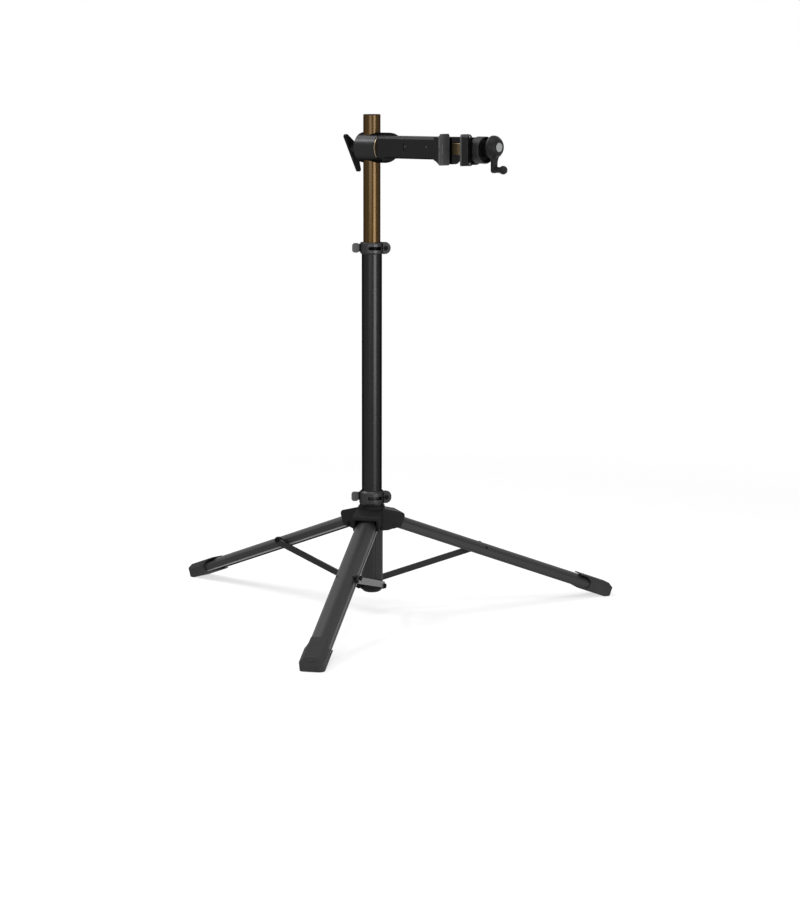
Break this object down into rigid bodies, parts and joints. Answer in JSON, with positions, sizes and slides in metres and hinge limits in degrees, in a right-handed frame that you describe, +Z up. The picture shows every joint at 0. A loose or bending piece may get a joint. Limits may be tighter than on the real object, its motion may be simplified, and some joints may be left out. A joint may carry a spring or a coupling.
{
  "type": "bicycle repair stand",
  "caption": "Folding tripod repair stand with strutted legs on a sliding hub, a telescopic mast and a swivelling clamp arm whose padded jaws close by a hand crank.",
  "frame": {"origin": "on the floor under the middle of the column", "axes": "+Z up along the column, +X along the clamp arm towards the crank"},
  "size_m": [0.959, 1.0264, 1.1114],
  "materials": {
    "column_black": "satin black coating",
    "mast_bronze": "brushed bronze anodising",
    "mast_cap_black": "moulded",
    "base_black": "moulded",
    "bush_black": "moulded",
    "collar_grey": "fine dark coating",
    "lever_grey": "satin dark coating",
    "leg_grey": "satin dark coating",
    "strut_grey": "satin dark coating",
    "foot_black": "fine moulded texture",
    "pin_steel": "blackened",
    "bright_steel": "turned",
    "head_black": "satin black coating",
    "arm_black": "satin black coating",
    "ring_brass": "polished",
    "nut_brass": "turned",
    "wing_black": "moulded",
    "pad_rubber": "soft",
    "drum_black": "moulded",
    "crank_black": "moulded",
    "cap_grey": "smooth"
  },
  "bodies": {
    "column": {"column_tube": "column_black", "stop_sleeve": "base_black", "base_plug": "base_black", "strut_foot_pins": "pin_steel", "column_collar": "collar_grey", "slide_bush": "bush_black", "column_pinch_bolt": "pin_steel", "column_cam_pin": "bright_steel"},
    "column_lever": {"column_qr_lever": "lever_grey"},
    "strut_right": {"strut_right": "strut_grey"},
    "strut_rear": {"strut_rear": "strut_grey"},
    "strut_front": {"strut_front": "strut_grey"},
    "leg_right": {"leg_right": "leg_grey", "foot_right": "foot_black", "strut_pin_right": "pin_steel"},
    "leg_rear": {"leg_rear": "leg_grey", "foot_rear": "foot_black", "strut_pin_rear": "pin_steel"},
    "leg_front": {"leg_front": "leg_grey", "foot_front": "foot_black", "strut_pin_front": "pin_steel"},
    "hub": {"hub_body": "base_black", "hub_bush": "bush_black", "hub_collar": "collar_grey", "leg_pivot_pins": "pin_steel", "hub_pinch_bolt": "pin_steel", "hub_cam_pin": "bright_steel"},
    "hub_lever": {"hub_qr_lever": "lever_grey"},
    "mast_guide": {"mast_guide": "bush_black"},
    "mast": {"mast_tube": "mast_bronze", "mast_cap": "mast_cap_black", "head_housing": "head_black"},
    "arm": {"arm_spindle": "bright_steel", "friction_ring": "ring_brass", "arm_body": "arm_black", "fixed_jaw": "arm_black", "fixed_pad": "pad_rubber", "screw_nut": "nut_brass"},
    "wing": {"wing_lever": "wing_black", "wing_insert": "bright_steel"},
    "carriage": {"slide_rail": "mast_bronze", "moving_jaw": "arm_black", "moving_pad": "pad_rubber", "jaw_screws": "bright_steel", "drum_housing": "drum_black", "thrust_washer": "bright_steel"},
    "crank": {"lead_screw": "bright_steel", "crank_arm": "crank_black", "crank_cap": "cap_grey", "knob_pin": "bright_steel"},
    "knob": {"crank_knob": "crank_black"}
  },
  "joints": [
    {"name": "fold_right", "type": "hinge", "parent": "column", "child": "strut_right", "pos_m": [0.006, 0.01039, 0.0605], "axis": [0.866, -0.5, 0], "range_deg": [0, 59]},
    {"name": "leg_right_pivot", "type": "hinge", "parent": "strut_right", "child": "leg_right", "pos_m": [0.134, 0.23209, 0.13154], "axis": [-0.866, 0.5, 0], "range_deg": [0, 122.8]},
    {"name": "fold_rear", "type": "hinge", "parent": "column", "child": "strut_rear", "pos_m": [-0.012, 0, 0.0605], "axis": [0, 1, 0], "range_deg": [0, 59]},
    {"name": "leg_rear_pivot", "type": "hinge", "parent": "strut_rear", "child": "leg_rear", "pos_m": [-0.268, 0, 0.13154], "axis": [0, -1, 0], "range_deg": [0, 122.8]},
    {"name": "fold_front", "type": "hinge", "parent": "column", "child": "strut_front", "pos_m": [0.006, -0.01039, 0.0605], "axis": [-0.866, -0.5, 0], "range_deg": [0, 59]},
    {"name": "leg_front_pivot", "type": "hinge", "parent": "strut_front", "child": "leg_front", "pos_m": [0.134, -0.23209, 0.13154], "axis": [0.866, 0.5, 0], "range_deg": [0, 122.8]},
    {"name": "hub_pivot", "type": "hinge", "parent": "leg_right", "child": "hub", "pos_m": [0.022, 0.03811, 0.198], "axis": [0.866, -0.5, 0], "range_deg": [0, 63.8]},
    {"name": "column_lever_open", "type": "hinge", "parent": "column", "child": "column_lever", "pos_m": [0.01225, 0.03233, 0.818], "axis": [0, 0, -1], "range_deg": [0, 110]},
    {"name": "hub_lever_open", "type": "hinge", "parent": "hub", "child": "hub_lever", "pos_m": [0.01397, 0.03386, 0.2607], "axis": [0, 0, -1], "range_deg": [0, 110]},
    {"name": "mast_slide", "type": "slide", "parent": "column", "child": "mast_guide", "axis": [0, 0, 1], "range_m": [-0.16, 0.4]},
    {"name": "mast_swivel", "type": "hinge", "parent": "mast_guide", "child": "mast", "pos_m": [0, 0, 0.3], "axis": [0, 0, 1], "continuous": true},
    {"name": "arm_rotate", "type": "hinge", "parent": "mast", "child": "arm", "pos_m": [0, 0, 1.038], "axis": [1, 0, 0], "continuous": true},
    {"name": "wing_turn", "type": "hinge", "parent": "arm", "child": "wing", "pos_m": [-0.045, 0, 1.038], "axis": [1, 0, 0], "range_deg": [0, 270]},
    {"name": "jaw_slide", "type": "slide", "parent": "arm", "child": "carriage", "axis": [1, 0, 0], "range_m": [-0.0401, 0]},
    {"name": "crank_turn", "type": "hinge", "parent": "carriage", "child": "crank", "pos_m": [0.34, 0, 1.0445], "axis": [-1, 0, 0], "range_deg": [0, 1440]},
    {"name": "knob_spin", "type": "hinge", "parent": "crank", "child": "knob", "pos_m": [0.36, 0, 0.9975], "axis": [1, 0, 0], "continuous": true}
  ],
  "couplings": [
    {"joint": "leg_right_pivot", "follows": "fold_right", "ratio": 2.08},
    {"joint": "fold_rear", "follows": "fold_right", "ratio": 1},
    {"joint": "leg_rear_pivot", "follows": "fold_right", "ratio": 2.08},
    {"joint": "fold_front", "follows": "fold_right", "ratio": 1},
    {"joint": "leg_front_pivot", "follows": "fold_right", "ratio": 2.08},
    {"joint": "hub_pivot", "follows": "fold_right", "ratio": 1.08},
    {"joint": "jaw_slide", "follows": "crank_turn", "m_per_rad": -0.0015915}
  ]
}
